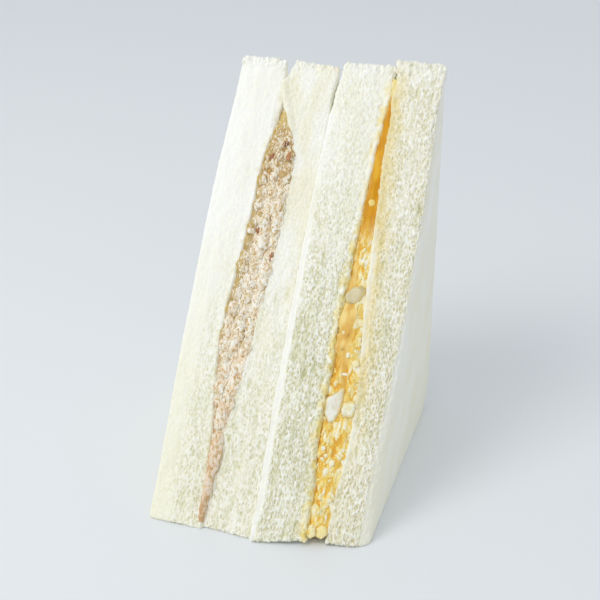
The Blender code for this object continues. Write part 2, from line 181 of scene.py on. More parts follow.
def fine_copy(name, source, voxel, smoothing):
    """A closed, evenly fine copy of a mesh, with its facets smoothed away."""
    piece = new_object(name, source.copy())
    weld = piece.modifiers.new("weld", "WELD")
    weld.merge_threshold = WELD
    remesh = piece.modifiers.new("remesh", "REMESH")
    remesh.mode = "VOXEL"
    remesh.voxel_size = voxel
    smooth = piece.modifiers.new("smooth", "SMOOTH")
    smooth.factor = 0.5
    smooth.iterations = smoothing
    return bake(piece)


def thin_out(piece):
    """Takes faces away where the skin is flat, until the piece is light enough."""
    triangles = sum(len(face.vertices) - 2 for face in piece.data.polygons)
    if triangles > PIECE_TRIANGLES:
        thin = piece.modifiers.new("thin", "DECIMATE")
        thin.ratio = PIECE_TRIANGLES / triangles
        bake(piece)
    piece.data.shade_smooth()
    print(piece.name, triangles, "triangles, kept", len(piece.data.polygons), "faces")


def settle_in(piece, slot, *nodes):
    """Hangs the piece from the root and hides the imported solids that it stands for. The slot is not used.
    """
    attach(piece, "root")
    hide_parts(*nodes)


# %% [markdown]
# ## Sums that read as sums
#
# Relief and colour are worked out by chains of Math nodes, which are hard to read when each one is
# made by hand. One function adds any node. A small class holds what a node gives out, and lets it take
# part in plain Python sums, so that a formula in the script looks like the formula that it stands for.

# %% Adding nodes
class Result:
    """What a node gives out. A sum with it adds the Math or Vector Math node that works it out."""

    def __init__(self, node, output=0):
        self.node = node
        self.tree = node.id_data
        self.socket = node.outputs[output]

    def output(self, name):
        """Another output of the same node."""
        return Result(self.node, name)

    def __add__(self, other):
        return joined("ADD", self, other)

    def __sub__(self, other):
        return joined("SUBTRACT", self, other)

    def __rsub__(self, other):
        return joined("SUBTRACT", other, self)

    def __mul__(self, other):
        return joined("MULTIPLY", self, other)

    def __truediv__(self, other):
        return joined("DIVIDE", self, other)

    def __rtruediv__(self, other):
        return joined("DIVIDE", other, self)

    def __abs__(self):
        return joined("ABSOLUTE", self)


def give(node, inputs):
    """Links each result to an input of the node, and sets each plain value."""
    for key, value in inputs.items():
        if isinstance(value, Result):
            node.id_data.links.new(value.socket, node.inputs[key])
        else:
            node.inputs[key].default_value = value


def add(tree, kind, inputs=None, output=0, **settings):
    """Adds a node with its settings and what feeds its inputs, and returns what it gives out."""
    node = tree.nodes.new(kind)
    for name, value in settings.items():
        setattr(node, name, value)
    give(node, inputs or {})
    return Result(node, output)


# %% Sums
def is_vector(value):
    return isinstance(value, tuple) or isinstance(value, Result) and value.socket.type in ("VECTOR", "RGBA")


def joined(operation, *values):
    """A sum of numbers or of vectors. A vector times a number is the vector made longer or shorter."""
    tree = next(value.tree for value in values if isinstance(value, Result))
    vectors = [value for value in values if is_vector(value)]
    numbers = [value for value in values if not is_vector(value)]
    kind = "ShaderNodeVectorMath" if vectors else "ShaderNodeMath"
    inputs = dict(enumerate(values))
    if vectors and numbers:
        assert operation == "MULTIPLY", "a number can only make a vector longer or shorter"
        operation = "SCALE"
        inputs = {0: vectors[0], "Scale": numbers[0]}
    return add(tree, kind, inputs, operation=operation)


def larger(first, second):
    return joined("MAXIMUM", first, second)


def measured(operation, first, second):
    """The number that two vectors give: their dot product, or the distance between them."""
    inputs = {0: first, 1: second}
    return add(first.tree, "ShaderNodeVectorMath", inputs, "Value", operation=operation)


def xyz(vector):
    """The three numbers of a vector."""
    parts = add(vector.tree, "ShaderNodeSeparateXYZ", {0: vector})
    return [parts.output(axis) for axis in "XYZ"]


def ramp(value, low, high, to_low=0.0, to_high=1.0):
    """Maps low to high onto another range, with level ends."""
    inputs = {"Value": value, "From Min": low, "From Max": high, "To Min": to_low, "To Max": to_high}
    return add(value.tree, "ShaderNodeMapRange", inputs, interpolation_type="SMOOTHSTEP")


# %% [markdown]
# ## Trees that many pieces share
#
# A Geometry Nodes tree works like a function. It is made once, with named inputs, and runs on each
# piece with its own values. Copying a tree for each piece would also work, but then a change to one
# would be missing in the others. A piece keeps only the finished mesh, because the export needs that.

# %% Geometry Nodes trees
def tree_with(name, sockets):
    """A Geometry Nodes tree with named inputs; returns the tree and what its inputs give."""
    tree = bpy.data.node_groups.new(name, "GeometryNodeTree")
    tree.interface.new_socket("Geometry", in_out="OUTPUT", socket_type="NodeSocketGeometry")
    for label, (kind, value) in {"Geometry": ("Geometry", None), **sockets}.items():
        made = tree.interface.new_socket(label, in_out="INPUT", socket_type="NodeSocket" + kind)
        if value is not None:
            made.default_value = value
    entry = tree.nodes.new("NodeGroupInput")
    return tree, {label: Result(entry, label) for label in ("Geometry", *sockets)}


def run_tree(piece, tree, **values):
    """Runs a tree on a piece, with inputs set by their sockets' identifiers, and keeps the result."""
    modifier = piece.modifiers.new(tree.name, "NODES")
    modifier.node_group = tree
    for item in tree.interface.items_tree:
        key = item.name.replace(" ", "_").lower()
        if item.in_out == "INPUT" and key in values:
            modifier[item.identifier] = values.pop(key)
    assert not values, f"{tree.name} has no inputs for {sorted(values)}"
    return bake(piece)


def store(geometry, values, kind="FLOAT", domain="POINT"):
    """Stores named values on the geometry, for a material to read."""
    for name, value in values.items():
        inputs = {"Geometry": geometry, "Name": name, "Value": value}
        geometry = add(geometry.tree, "GeometryNodeStoreNamedAttribute", inputs,
                       data_type=kind, domain=domain)
    return geometry


def finish_tree(given, geometry, offset):
    """Moves the points by an offset, sets the material and ends the tree."""
    tree = geometry.tree
    moved = add(tree, "GeometryNodeSetPosition", {"Geometry": geometry, "Offset": offset})
    real = add(tree, "GeometryNodeRealizeInstances", {"Geometry": moved})
    finished = add(tree, "GeometryNodeSetMaterial", {"Geometry": real, "Material": given["Material"]})
    give(tree.nodes.new("NodeGroupOutput"), {0: finished})


# %% [markdown]
# ## Patterns that relief and colour share
#
# Bubbles, flakes and curds are all cells packed side by side, so they come from Voronoi textures. The
# relief trees store the place that they read the texture at, in millimetres. The materials read the
# same place, so that each hollow of the relief also gets its darker colour. The loaf was stretched
# along the slice, so every pattern is turned until its Z runs up the cut.

# %% The plane of the cut
CAD_LOW, CAD_HIGH = CAD_BOX
CUT_ANGLE = math.atan2(CAD_HIGH.y - CAD_LOW.y, CAD_HIGH.z - CAD_LOW.z)
CUT_NORMAL = (0.0, -math.cos(CUT_ANGLE), math.sin(CUT_ANGLE))
CUT_UP = (0.0, math.sin(CUT_ANGLE), math.cos(CUT_ANGLE))
ON_CUT = (0.0, CAD_LOW.y, CAD_LOW.z)
MIDDLE = (0.5, 0.5, 0.5)


def along_cut(position, stretch):
    """Millimetres turned so that Z runs up the cut, and squeezed so that patterns stretch along it."""
    inputs = {"Vector": position, "Angle": CUT_ANGLE}
    turned = add(position.tree, "ShaderNodeVectorRotate", inputs, rotation_type="X_AXIS")
    return turned * (1 / MM, 1 / MM, 1 / MM / stretch)


print("the cut leans back by", round(math.degrees(CUT_ANGLE), 1), "degrees")

# %% Shared patterns
def cells(place, size_mm):
    """Distance to the middle of a Voronoi cell, in cell sizes, and a random number for each cell."""
    voronoi = add(place.tree, "ShaderNodeTexVoronoi", {"Vector": place, "Scale": 1 / size_mm})
    return voronoi.output("Distance"), xyz(voronoi.output("Color"))[0]


def noise(place, size_mm, detail=1.0, output="Fac"):
    """Noise from 0 to 1, with its middle near 0.5."""
    inputs = {"Vector": place, "Scale": 1 / size_mm, "Detail": detail}
    return add(place.tree, "ShaderNodeTexNoise", inputs, output=output)


def wobbled(place, size_mm, reach_mm):
    """The place, pushed about by up to half of the reach, which makes cells uneven."""
    return place + (noise(place, size_mm, output="Color") - MIDDLE) * (2 * reach_mm)


def distance_to(thing):
    """Millimetres from a point to the faces of an object."""
    faces = add(thing.tree, "GeometryNodeObjectInfo", {"Object": thing}, output="Geometry")
    near = add(thing.tree, "GeometryNodeProximity", {0: faces}, "Distance", target_element="FACES")
    return near / MM


# %% [markdown]
# ## Where a slice is open, pressed or torn
#
# A slice of bread has two kinds of skin. Where the knife went through, the crumb is open. The flat faces
# of the slice were pressed smooth, and so were the strips beside a filling, where a thumb or the knife
# closed the crumb. Each slice says by its inputs where these start and end: heights above the base, and
# places across it. Masks painted by hand would do the same, but couldn't be written down as numbers.

# %% Inputs of the crumb relief
CRUMB_INPUTS = {
    "Filling": ("Object", None),
    "Soak Reach": ("Float", 3.5),
    "Spot": ("Vector", (0.0, 0.0, 0.0)),
    "Spot Reach": ("Float", 0.1 * MM),
    "Open At Foot": ("Float", 1.0),
    "Open At Tip": ("Float", 1.0),
    "Foot Until": ("Float", 20 * MM),
    "Tip From": ("Float", 100 * MM),
    "Closed Until": ("Float", -1.0),
    "Round From Foot": ("Float", 1.0),
    "Round From Tip": ("Float", 1.0),
    "Left Edge": ("Float", 0.6),
    "Right Edge": ("Float", 0.6),
    "Edge At Tip": ("Float", 0.6),
    "Neighbour": ("Object", None),
    "Strip Foot": ("Float", -1.0),
    "Strip Top": ("Float", -1.0),
    "Break Foot": ("Float", -1.0),
    "Break Top": ("Float", -1.0),
    "Strip Width": ("Float", 1.1),
    "Crumb Off Strip": ("Float", 0.0),
    "Left Lip": ("Float", 0.0),
    "Right Lip": ("Float", 0.0),
    "Left Tip Lip": ("Float", 0.0),
    "Right Tip Lip": ("Float", 0.0),
    "Left Lip Top": ("Float", 1.0),
    "Right Lip Top": ("Float", 1.0),
    "Lean In": ("Float", 0.0),
    "Ragged": ("Float", 0.3 * MM),
    "Material": ("Material", None),
}
print("the crumb has", len(CRUMB_INPUTS), "inputs")

# %% Open crumb, pressed faces and bare strips
STRIP_LINE_MM = 2.5
PATCH_MM = 5.0
EDGE_CHANGES = (70 * MM, 82 * MM)
EDGE_RADIUS = 2.6 * MM
ROUNDED_HEIGHTS = (5 * MM, 85 * MM)
ROUNDED_DEPTHS = (-35 * MM, -5 * MM)


def by_side(sideways, given, name):
    """The input for the left or the right, after the side that the skin faces."""
    right = joined("GREATER_THAN", sideways, 0.0)
    inputs = {0: right, 2: given["Left " + name], 3: given["Right " + name]}
    return add(sideways.tree, "ShaderNodeMix", inputs)


def strip_by_height(z, given):
    """1 at the heights of the bare strip along a seam, and 0 above, below and where it breaks off."""
    below_top = ramp(z - given["Strip Top"], -6 * MM, 0.0, 1.0, 0.0)
    above_foot = ramp(z - given["Strip Foot"], 0.0, 5 * MM)
    broken = ramp(z - given["Break Foot"], -3 * MM, 3 * MM)
    broken = broken * ramp(z - given["Break Top"], -3 * MM, 3 * MM, 1.0, 0.0)
    return below_top * above_foot * (1 - broken)


def strip_by_width(place, given):
    """1 close to the neighbour and 0 away from it, along an uneven line."""
    unevenness = noise(place, STRIP_LINE_MM, 2.0) * 4.0 - 1.4
    return ramp(distance_to(given["Neighbour"]) + unevenness - given["Strip Width"], 0.0, 2.2, 1.0, 0.0)


def cut_share(sideways, z, strip, given):
    """1 where the knife cut the crumb open and 0 on the pressed faces."""
    edge = ramp(z, *EDGE_CHANGES, by_side(sideways, given, "Edge"), given["Edge At Tip"])
    edge = larger(edge, (1 - strip) * given["Crumb Off Strip"])
    return ramp(abs(sideways) - edge, 0.0, 0.3, 1.0, 0.0)


def past_rounding(x, z, given):
    """How far a point lies past the line where the outer edge starts to round off."""
    start = ramp(z, *ROUNDED_HEIGHTS, given["Round From Foot"], given["Round From Tip"])
    return larger(x - start, 0.0)


def openness(place, x, z, past, given):
    """How open the crumb is: by height, less at a closed side and on a rounded edge, and in patches."""
    share = ramp(z, given["Foot Until"], given["Tip From"], given["Open At Foot"], given["Open At Tip"])
    share = share * ramp(x - given["Closed Until"], -3 * MM, 4 * MM, 0.25, 1.0)
    share = share * ramp(past, 0.0, 1.5 * MM, 1.0, 0.0)
    return share * ramp(noise(place, PATCH_MM), 0.3, 0.6, 0.75, 1.05)


print("the last slice's outer edge is rounded by", round(EDGE_RADIUS / MM, 1), "mm")


# %% [markdown]
# ## Crumb
#
# Cut bread shows its crumb: bubbles of many sizes, stretched along the slice, with thin pale walls
# between them. Carving each one would take far too many faces. The tree below presses them into the
# skin with Voronoi cells, fine ones everywhere and a few large ones. It also tears the thin end at the
# tip, lets the lips beside a filling bulge, and stores how near the filling each point is.

# %% Pores, tears and lips
CRUMB_STRETCH = 2.3
PORE_MM = 0.58
BUBBLE_MM = 1.5
HOLE_MM = 3.2
SWELL_MM = 3.5
THREAD_MM = 0.75
PORE_DEPTH = 0.4 * MM
FLAT_SIDE = (30.5 * MM, 32.5 * MM)
TORN_HEIGHTS = (111 * MM, 114.5 * MM)
LIP_CHANGES = (94 * MM, 99 * MM)


def pore_walls(place, size_mm):
    """From 0 in the middle of a pore to 1 on the walls round it."""
    distance, _ = cells(place, size_mm)
    return ramp(distance, 0.1, 0.85)


def bubbles(place):
    """Middling bubbles and rarer large holes, from 0 to about 1 where one is deepest."""
    distance, chance = cells(place, BUBBLE_MM)
    bubble = ramp(distance, 0.1, 0.6, 0.7, 0.0) * ramp(chance, 0.55, 0.8)
    distance, chance = cells(place, HOLE_MM)
    hole = ramp(distance, 0.1, 0.36, 1.2, 0.0) * ramp(chance, 0.85, 0.95)
    return bubble, hole


def soft_swell(place, x):
    """The slow bulges of soft bread, nearly gone on the outer faces, which stay flat."""
    return (noise(place, SWELL_MM, 2.0) - 0.5) * ramp(abs(x), *FLAT_SIDE, 0.9 * MM, 0.15 * MM)


def torn_edge(place, normal, z, given):
    """Ragged threads on the cut, strongest at the thin tip."""
    facing = measured("DOT_PRODUCT", normal, CUT_NORMAL)
    reach = larger(given["Ragged"] * ramp(facing, -0.1, 0.3), ramp(z, *TORN_HEIGHTS, 0.0, 1.3 * MM))
    return (noise(place, THREAD_MM) - 0.48) * (reach * 2.0)


def lip_bulge(sideways, z, given):
    """The bulge of a slice's edge over the filling or the seam beside it."""
    lip = ramp(z, *LIP_CHANGES, by_side(sideways, given, "Lip"), by_side(sideways, given, "Tip Lip"))
    lip = lip * ramp(abs(sideways), 0.2, 0.7)
    return lip * ramp(z - by_side(sideways, given, "Lip Top"), -4 * MM, 0.0, 1.0, 0.0)


print("pores of", PORE_MM, "mm, bubbles of", BUBBLE_MM, "mm and holes of", HOLE_MM, "mm")


# %% The crumb tree
LEAN_HEIGHTS = (80 * MM, 116 * MM)
LEAN_ACROSS = (-33 * MM, -24 * MM)
TIP_COLOUR = (110 * MM, 114 * MM)
WOBBLE_MM = 1.2
WOBBLE_REACH_MM = 0.25
SOAK_LINE_MM = 1.5


def soaked(place, position, strip, given):
    """How much of the filling the bread has taken up, and a spot where some was smeared."""
    near = distance_to(given["Filling"]) + ramp(noise(place, SOAK_LINE_MM), 0.3, 0.7, 0.0, 2.0)
    soak = ramp(near, 0.0, given["Soak Reach"], 1.0, 0.0)
    spot = ramp(measured("DISTANCE", position, given["Spot"]), 0.0, given["Spot Reach"], 0.6, 0.0)
    return larger(soak * (1 - strip), spot)


def crumb_tree():
    """Presses crumb into a slice, and leans, rounds and tears its edges."""
    tree, given = tree_with("crumb_relief", CRUMB_INPUTS)
    normal = add(tree, "GeometryNodeInputNormal")
    position = add(tree, "GeometryNodeInputPosition")
    sideways = xyz(normal)[0]
    x, _, z = xyz(position)
    place = wobbled(along_cut(position, CRUMB_STRETCH), WOBBLE_MM, WOBBLE_REACH_MM)

    strip = strip_by_height(z, given)
    cut = cut_share(sideways, z, strip, given)
    strip = strip * strip_by_width(place, given)
    past = past_rounding(x, z, given)
    open_cut = openness(place, x, z, past, given) * (cut * (1 - strip * 0.8))

    bubble, hole = bubbles(place)
    crumb = (pore_walls(place, PORE_MM) - (bubble + hole + 0.5)) * open_cut * PORE_DEPTH
    edges = lip_bulge(sideways, z, given) + torn_edge(place, normal, z, given)
    relief = crumb + soft_swell(place, x) + edges

    stored = store(given["Geometry"], {
        "pit": larger(bubble, hole) * open_cut,
        "open": open_cut * ramp(z, *TIP_COLOUR, 1.0, 0.45),
        "soak": soaked(place, position, strip, given),
    })
    stored = store(stored, {"crumb_place": place}, "FLOAT_VECTOR")
    depth = measured("DOT_PRODUCT", position - ON_CUT, CUT_NORMAL)
    rounding = past * past / (2 * EDGE_RADIUS) * ramp(depth, *ROUNDED_DEPTHS)
    lean = ramp(z, *LEAN_HEIGHTS) * ramp(x, *LEAN_ACROSS, given["Lean In"], 0.0)
    shift = add(tree, "ShaderNodeCombineXYZ", {0: lean, 1: rounding})
    finish_tree(given, stored, shift + normal * relief)
    return tree


CRUMB = crumb_tree()
print("the crumb tree has", len(CRUMB.nodes), "nodes")

# %% [markdown]
# ## Bread
#
# White bread is a foam of thin, pale, matt walls. Light goes a little way in and comes out warmer, so
# it looks soft. The material paints shade into the pores, darker and yellower than the walls, and
# paints highlight on the tops of the walls, nearly white. The finest web of walls is too fine for the
# mesh, so the material draws it in the same place and with the same stretch as the relief.

# %% Colour helpers
def attribute(tree, name, output="Fac"):
    return add(tree, "ShaderNodeAttribute", attribute_name=name, output=output)


def object_place(tree):
    """The place on the piece, in metres."""
    return add(tree, "ShaderNodeTexCoord", output="Object")


def blend(share, first, second):
    """Mixes two colours; each is a hex code or a result."""
    ends = [linear(end) if isinstance(end, str) else end for end in (first, second)]
    return add(share.tree, "ShaderNodeMix", {0: share, 6: ends[0], 7: ends[1]}, data_type="RGBA", output=2)


def colour_band(level, stops):
    """Runs a level through colours: stops are places from 0 to 1 with a hex code each."""
    made = add(level.tree, "ShaderNodeValToRGB", {"Fac": level})
    band = made.node.color_ramp
    while len(band.elements) < len(stops):
        band.elements.new(1.0)
    for element, (place, code) in zip(band.elements, stops):
        element.position = place
        element.color = linear(code)
    return made


# %% Bread materials
# The real web of walls is finer than a tenth of a millimetre. It is drawn as coarse as it needs to show.
WEB_MM = 0.42
STREAK_MM = 1.6
DRIFT_MM = 9.0
YELLOW_HEIGHTS = (10 * MM, 80 * MM)
STAIN_HEIGHTS = (15 * MM, 50 * MM)


def bread_material(name, tone, skin_tone, stain, strength, foot_share, foot_stain=1.0):
    """White bread crumb, baked and cut: matt, softly glowing, painted shade in pores, painted highlight on
    walls.

    The tone is the open crumb's and the skin tone the pressed faces'. The stain is the colour that the
    filling leaves. The foot's share is how much yellower the faces get towards the base.
    """
    material, tree, shader = new_material(name)
    place = attribute(tree, "crumb_place", "Vector")
    height = xyz(object_place(tree))[2]
    level = pore_walls(place, WEB_MM) * 0.55 + pore_walls(place, PORE_MM) * 0.45
    # Painted shade and highlight: pore middles darker and yellower, wall tops nearly white.
    crumb = colour_band(level, [(0.15, "#D8D3A2"), (0.5, tone), (0.8, "#FFFFF4")])
    streaks = noise(place * (1.0, 1.0, 0.3), STREAK_MM)
    crumb = blend(ramp(streaks, 0.5, 0.72, 0.0, 0.5), crumb, "#DCDCB2")
    skin = blend(ramp(noise(place, DRIFT_MM, 2.0), 0.35, 0.65), "#FEFEF7", skin_tone)
    skin = blend(ramp(height, *YELLOW_HEIGHTS, foot_share, 0.0), skin, "#EDE9BE")
    colour = blend(attribute(tree, "open"), skin, crumb)
    # Painted shade: the deep bubbles and holes are darker and yellower.
    colour = blend(attribute(tree, "pit") * 0.75, colour, "#D2D0A0")
    soak = attribute(tree, "soak") * strength * ramp(height, *STAIN_HEIGHTS, foot_stain, 1.0)
    raised = {"Height": level * attribute(tree, "open"), "Distance": 0.25 * MM, "Strength": 1.0}
    give(shader, {
        "Base Color": blend(soak, colour, stain),
        "Normal": add(tree, "ShaderNodeBump", raised),
        "Roughness": 0.9,
        "Specular IOR Level": 0.25,
        "Subsurface Weight": 0.15,
        "Subsurface Scale": 0.8 * MM,
        "Subsurface Radius": (1.0, 0.9, 0.65),
    })
    return material


# The palest slice, nearly closed, with a trace of brownish oil where it meets the tuna.
BREAD_BY_TUNA = bread_material("bread_crumb_by_tuna", "#F5F2DE", "#FDFCF1", "#CFC084", 0.62, 0.38)
# Cream crumb with one smear of yolk at its tip, which gives the eye a small orange mark.
BREAD_MARKED = bread_material("bread_crumb_yolk_marked", "#F5F2E0", "#F6F2DC", "#F7B64A", 1.0, 0.1)
# The most open crumb, so the most painted shade in pores and painted highlight on walls, and a yellow edge
# beside the egg.
BREAD_BY_EGG = bread_material("bread_crumb_by_egg", "#F0EDD6", "#FCFBEE", "#F5D95C", 0.8, 0.0)
# Crumb that drew up yolk and dressing, so it is a warm yellow, except near its foot.
BREAD_YELLOWED = bread_material("bread_crumb_yellowed", "#F1EAD1", "#FAF8EA", "#F0D67A", 0.65, 0.2, 0.15)
print("four kinds of bread crumb, with pores of", PORE_MM, "mm")

# %% [markdown]
# ## The four slices of bread
#
# Two slices hold the tuna and two the egg. The first slice is nearly closed, leans in at its tip and
# bulges over the tuna. The second bulges from the other side and has a mark of yolk at its tip. The
# third is the most open, with a bare strip along the seam. The last has a broken strip along the egg
# and a rounded outer edge. One tree makes all four, because they differ only in where each thing is.

# %% The slices
BREAD_VOXEL = 0.25 * MM
BREAD_SMOOTHING = 4
ABOVE_TUNA = (-15.7 * MM, 36.5 * MM, 105.5 * MM)
ABOVE_EGG = (17.8 * MM, 39.8 * MM, 110.0 * MM)
YOLK_MARK = (-1.2 * MM, 43.6 * MM, 114.6 * MM)
tuna_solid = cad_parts["tuna_filling"]
egg_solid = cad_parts["egg_filling"]
SLICES = {
    "bread_tuna_outer": dict(
        material=BREAD_BY_TUNA, filling=tuna_solid, soak_reach=2.0, spot=ABOVE_TUNA, spot_reach=3.5 * MM,
        open_at_foot=0.78, open_at_tip=0.1, foot_until=15 * MM, tip_from=85 * MM, closed_until=-27 * MM,
        right_lip=0.8 * MM, right_tip_lip=0.1 * MM, right_lip_top=112 * MM,
        lean_in=1.1 * MM, ragged=0.2 * MM),
    "bread_tuna_inner": dict(
        material=BREAD_MARKED, filling=egg_solid, soak_reach=1.0, spot=YOLK_MARK, spot_reach=1.8 * MM,
        open_at_foot=0.78, open_at_tip=0.3, foot_until=15 * MM, tip_from=75 * MM,
        left_lip=0.8 * MM, left_tip_lip=1.8 * MM, left_lip_top=112 * MM,
        right_lip=0.35 * MM, right_tip_lip=0.35 * MM, right_lip_top=105 * MM, ragged=0.2 * MM),
    "bread_egg_inner": dict(
        material=BREAD_BY_EGG, filling=egg_solid, spot=ABOVE_EGG, spot_reach=4.0 * MM,
        open_at_foot=1.1, open_at_tip=0.45, foot_until=45 * MM, left_edge=-0.02, right_edge=0.9,
        edge_at_tip=0.3, neighbour=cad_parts["bread_tuna_inner"], strip_top=1.0,
        left_lip=0.6 * MM, left_tip_lip=0.6 * MM, left_lip_top=105 * MM,
        right_lip=0.9 * MM, right_tip_lip=0.9 * MM, right_lip_top=112.5 * MM, ragged=0.4 * MM),
    "bread_egg_outer": dict(
        material=BREAD_YELLOWED, filling=egg_solid, soak_reach=7.5, spot=ABOVE_EGG, spot_reach=4.0 * MM,
        open_at_foot=0.95, open_at_tip=0.8, foot_until=40 * MM, tip_from=95 * MM,
        left_edge=0.15, right_edge=0.35, edge_at_tip=0.75,
        neighbour=egg_solid, strip_foot=15 * MM, strip_top=78 * MM, strip_width=0.3,
        break_foot=29 * MM, break_top=44 * MM, crumb_off_strip=0.7,
        left_lip=0.9 * MM, left_tip_lip=0.9 * MM, left_lip_top=112.5 * MM,
        round_from_foot=29.3 * MM, round_from_tip=33.3 * MM, ragged=0.4 * MM),
}
for node_name, settings in SLICES.items():
    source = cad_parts[node_name].data
    piece = fine_copy(node_name.replace("bread", "slice"), source, BREAD_VOXEL, BREAD_SMOOTHING)
    run_tree(piece, CRUMB, **settings)
    thin_out(piece)
    settle_in(piece, "bread", node_name)

# %% [markdown]
# ## Filling cores
#
# Under the loose bits each filling is one moist mass. Its core is grown a little, so that it meets the
# bread, and gets lumps and packed grains. Grains are strong where the filling is loose and nearly gone
# where it is a smooth paste. The tree stores what the materials need to colour hollows and edges.

# %% Inputs of the core relief
CORE_INPUTS = {
    "Grow": ("Float", 0.25 * MM),
    "Side Grow": ("Float", 0.0),
    "Stretch": ("Float", 1.3),
    "Lump Size": ("Float", 3.0),
    "Lump Depth": ("Float", 0.7 * MM),
    "Grain Size": ("Float", 1.0),
    "Grain Depth": ("Float", 0.3 * MM),
    "Left Bread": ("Object", None),
    "Right Bread": ("Object", None),
    "Loose From Right": ("Float", 1000.0),
    "Loose Below": ("Float", 1.0),
    "All Loose Below": ("Float", 1.0),
    "Rim": ("Float", 0.0),
    "Even Below": ("Float", -1.0),
    "Even Above": ("Float", 1.0),
    "Tip Shrink": ("Float", 0.0),
    "Material": ("Material", None),
}
EVEN_ROUNDS = 120
print("a filling core has", len(CORE_INPUTS), "inputs")


def looseness(place, z, left, right, given):
    """1 where the filling is loose and 0 where it is a paste, by side, by height and along its rim."""
    drift = noise(place, 4.0) - 0.5
    by_right = ramp(right + drift * 4.0 - given["Loose From Right"], -0.4, 0.6, 1.0, 0.0)
    by_height = ramp(z - given["Loose Below"], -8 * MM, 2 * MM, 1.0, 0.0)
    low_down = ramp(z - given["All Loose Below"] + drift * (40 * MM), -5 * MM, 3 * MM, 1.0, 0.0)
    by_rim = ramp(left + drift * 3.0, 0.4, 1.4, 1.0, 0.0)
    return larger(larger(by_right * by_height, low_down), given["Rim"] * by_rim)


# %% The core tree
def core_tree():
    """Grows a filling, evens out its ends and gives it lumps and grains."""
    tree, given = tree_with("filling_core", CORE_INPUTS)
    normal = add(tree, "GeometryNodeInputNormal")
    start = add(tree, "GeometryNodeInputPosition")
    z = xyz(start)[2]
    at_tip = ramp(z - given["Even Above"], 0.0, 5 * MM)
    even = larger(ramp(z - given["Even Below"], -12 * MM, 0.0, 1.0, 0.0), at_tip)
    evened = {"Value": start, "Iterations": EVEN_ROUNDS, "Weight": even}
    position = add(tree, "GeometryNodeBlurAttribute", evened, data_type="FLOAT_VECTOR")

    squeeze = add(tree, "ShaderNodeCombineXYZ", {0: 1.0, 1: 1.0, 2: 1.0 / given["Stretch"]})
    place = wobbled(along_cut(position, 1.0) * squeeze, 1.5, 0.5)
    left = distance_to(given["Left Bread"])
    right = distance_to(given["Right Bread"])
    loose = looseness(place, z, left, right, given)

    lumps = (noise(place * (1.0 / given["Lump Size"]), 1.0) - 0.5) * 2.0
    grain_place = place * (1.0 / given["Grain Size"])
    distance, chance = cells(grain_place, 1.0)
    grain = ramp(distance, 0.1, 0.65, 1.0, 0.0) - 0.25 + (chance - 0.5)
    grain = grain * ramp(loose, 0.0, 1.0, 0.08, 1.0)
    stored = store(given["Geometry"], {
        "height": lumps * 0.5 + grain, "loose": loose, "from_left": left, "from_right": right,
    })
    stored = store(stored, {"grain_place": grain_place}, "FLOAT_VECTOR")

    relief = lumps * given["Lump Depth"] + grain * given["Grain Depth"]
    grown = normal * (relief + (given["Grow"] - at_tip * given["Tip Shrink"]))
    sideways = xyz(normal)[0]
    on_side = sideways * ramp(abs(sideways), 0.4, 0.85) * given["Side Grow"]
    wider = add(tree, "ShaderNodeCombineXYZ", {0: on_side})
    finish_tree(given, stored, (position - start) + (grown + wider))
    return tree


CORE = core_tree()
print("the core tree has", len(CORE.nodes), "nodes")

# %% [markdown]
# ## Scattered bits
#
# Flakes and curds lie on the core by the hundred. Particles would do, but the export drops them, so
# Geometry Nodes scatters copies of one small mesh over the side that shows, each with its own turn,
# size and tone, and makes them real. A push by noise then makes every copy a little different.

# %% Inputs of the bits
BIT_INPUTS = {
    "Bit": ("Object", None),
    "Spacing": ("Float", 1.0 * MM),
    "Length": ("Float", 1.6 * MM),
    "Width": ("Float", 0.6 * MM),
    "Thickness": ("Float", 0.5 * MM),
    "Unevenness": ("Float", 0.3 * MM),
    "From Z": ("Float", -1.0),
    "To Z": ("Float", 1.0),
    "Share On Smooth": ("Float", 0.05),
    "Spin": ("Float", 3.14),
    "Sink": ("Float", 0.2 * MM),
    "Seed": ("Int", 1),
    "Material": ("Material", None),
}
FADE = 12 * MM
MOST_BITS = 4.0e6
SIZE_SEED = 7
TONE_SEED = 11
WAVES_PER_MM = 1.7
print("the scattering has", len(BIT_INPUTS), "inputs")


def scattered(tree, given, position):
    """Points on the side of a filling that shows at the cut, sunk a little into it."""
    facing = measured("DOT_PRODUCT", add(tree, "GeometryNodeInputNormal"), CUT_NORMAL)
    z = xyz(position)[2]
    loose = add(tree, "GeometryNodeInputNamedAttribute", {"Name": "loose"}, data_type="FLOAT")
    density = ramp(z, given["From Z"], given["From Z"] + FADE)
    density = density * ramp(z, given["To Z"] - FADE, given["To Z"], 1.0, 0.0)
    density = density * ramp(loose, 0.0, 1.0, given["Share On Smooth"], 1.0)
    points = add(tree, "GeometryNodeDistributePointsOnFaces", {
        "Mesh": given["Geometry"], "Selection": joined("GREATER_THAN", facing, 0.5),
        "Distance Min": given["Spacing"], "Density Max": MOST_BITS, "Density Factor": density,
        "Seed": given["Seed"],
    }, distribute_method="POISSON")
    sunk = {"Geometry": points.output("Points"), "Offset": points.output("Normal") * (given["Sink"] * -1.0)}
    return points, add(tree, "GeometryNodeSetPosition", sunk)


def turned(tree, given, points):
    """Each bit lies along the cut, turned by a random angle up to the spin."""
    upright = add(tree, "FunctionNodeAlignRotationToVector", {
        "Rotation": points.output("Rotation"), "Factor": 1.0, "Vector": CUT_UP,
    }, axis="X", pivot_axis="Z")
    spin = add(tree, "FunctionNodeRandomValue", {
        "Min": given["Spin"] * -1.0, "Max": given["Spin"], "Seed": given["Seed"],
    }, data_type="FLOAT")
    turn = add(tree, "FunctionNodeAxisAngleToRotation", {"Axis": (0.0, 0.0, 1.0), "Angle": spin.output(1)})
    both = {"Rotation": upright, "Rotate By": turn}
    return add(tree, "FunctionNodeRotateRotation", both, rotation_space="LOCAL")


